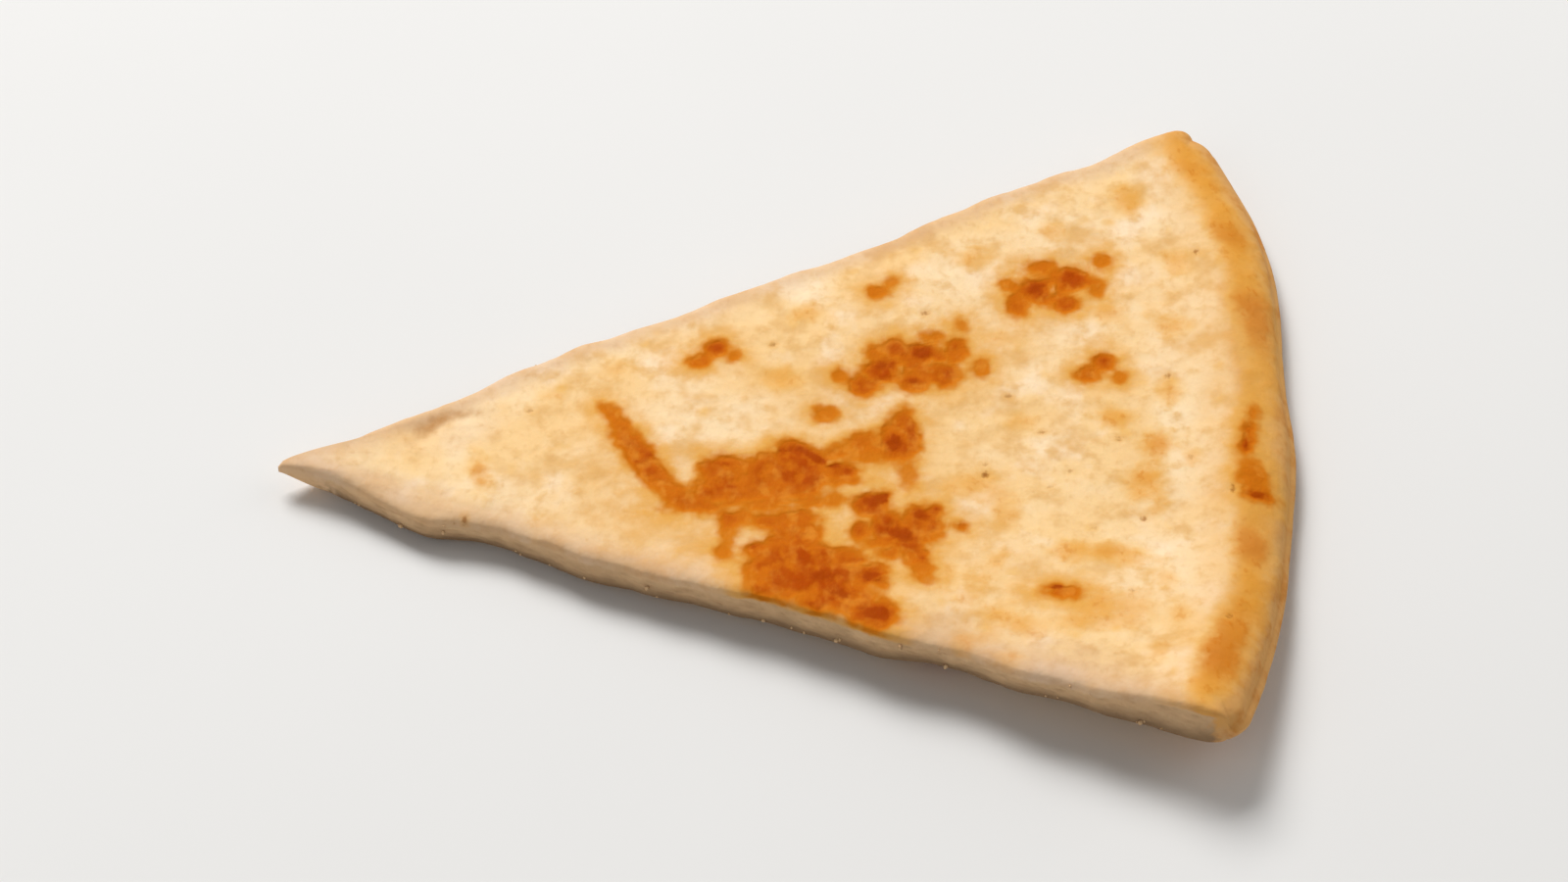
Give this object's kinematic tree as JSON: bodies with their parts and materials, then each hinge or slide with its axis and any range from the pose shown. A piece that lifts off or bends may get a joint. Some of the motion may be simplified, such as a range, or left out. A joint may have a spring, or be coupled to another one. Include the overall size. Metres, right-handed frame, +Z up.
{
  "type": "pita bread wedge",
  "caption": "Wedge of thin griddled pita flatbread, with browned patches on top, cut sides that show the crumb, a narrow tip and a rounded crust along the arc.",
  "frame": {"origin": "middle of the wedge's box in plan, on the surface that the wedge lies on", "axes": "+X from the cut tip to the crust, +Z up through the bread's thickness, +Y towards the far cut"},
  "size_m": [0.0906, 0.0752, 0.0089],
  "materials": {
    "pita_bread": "matte"
  },
  "bodies": {
    "root": {"pita_wedge": "pita_bread"}
  },
  "joints": []
}
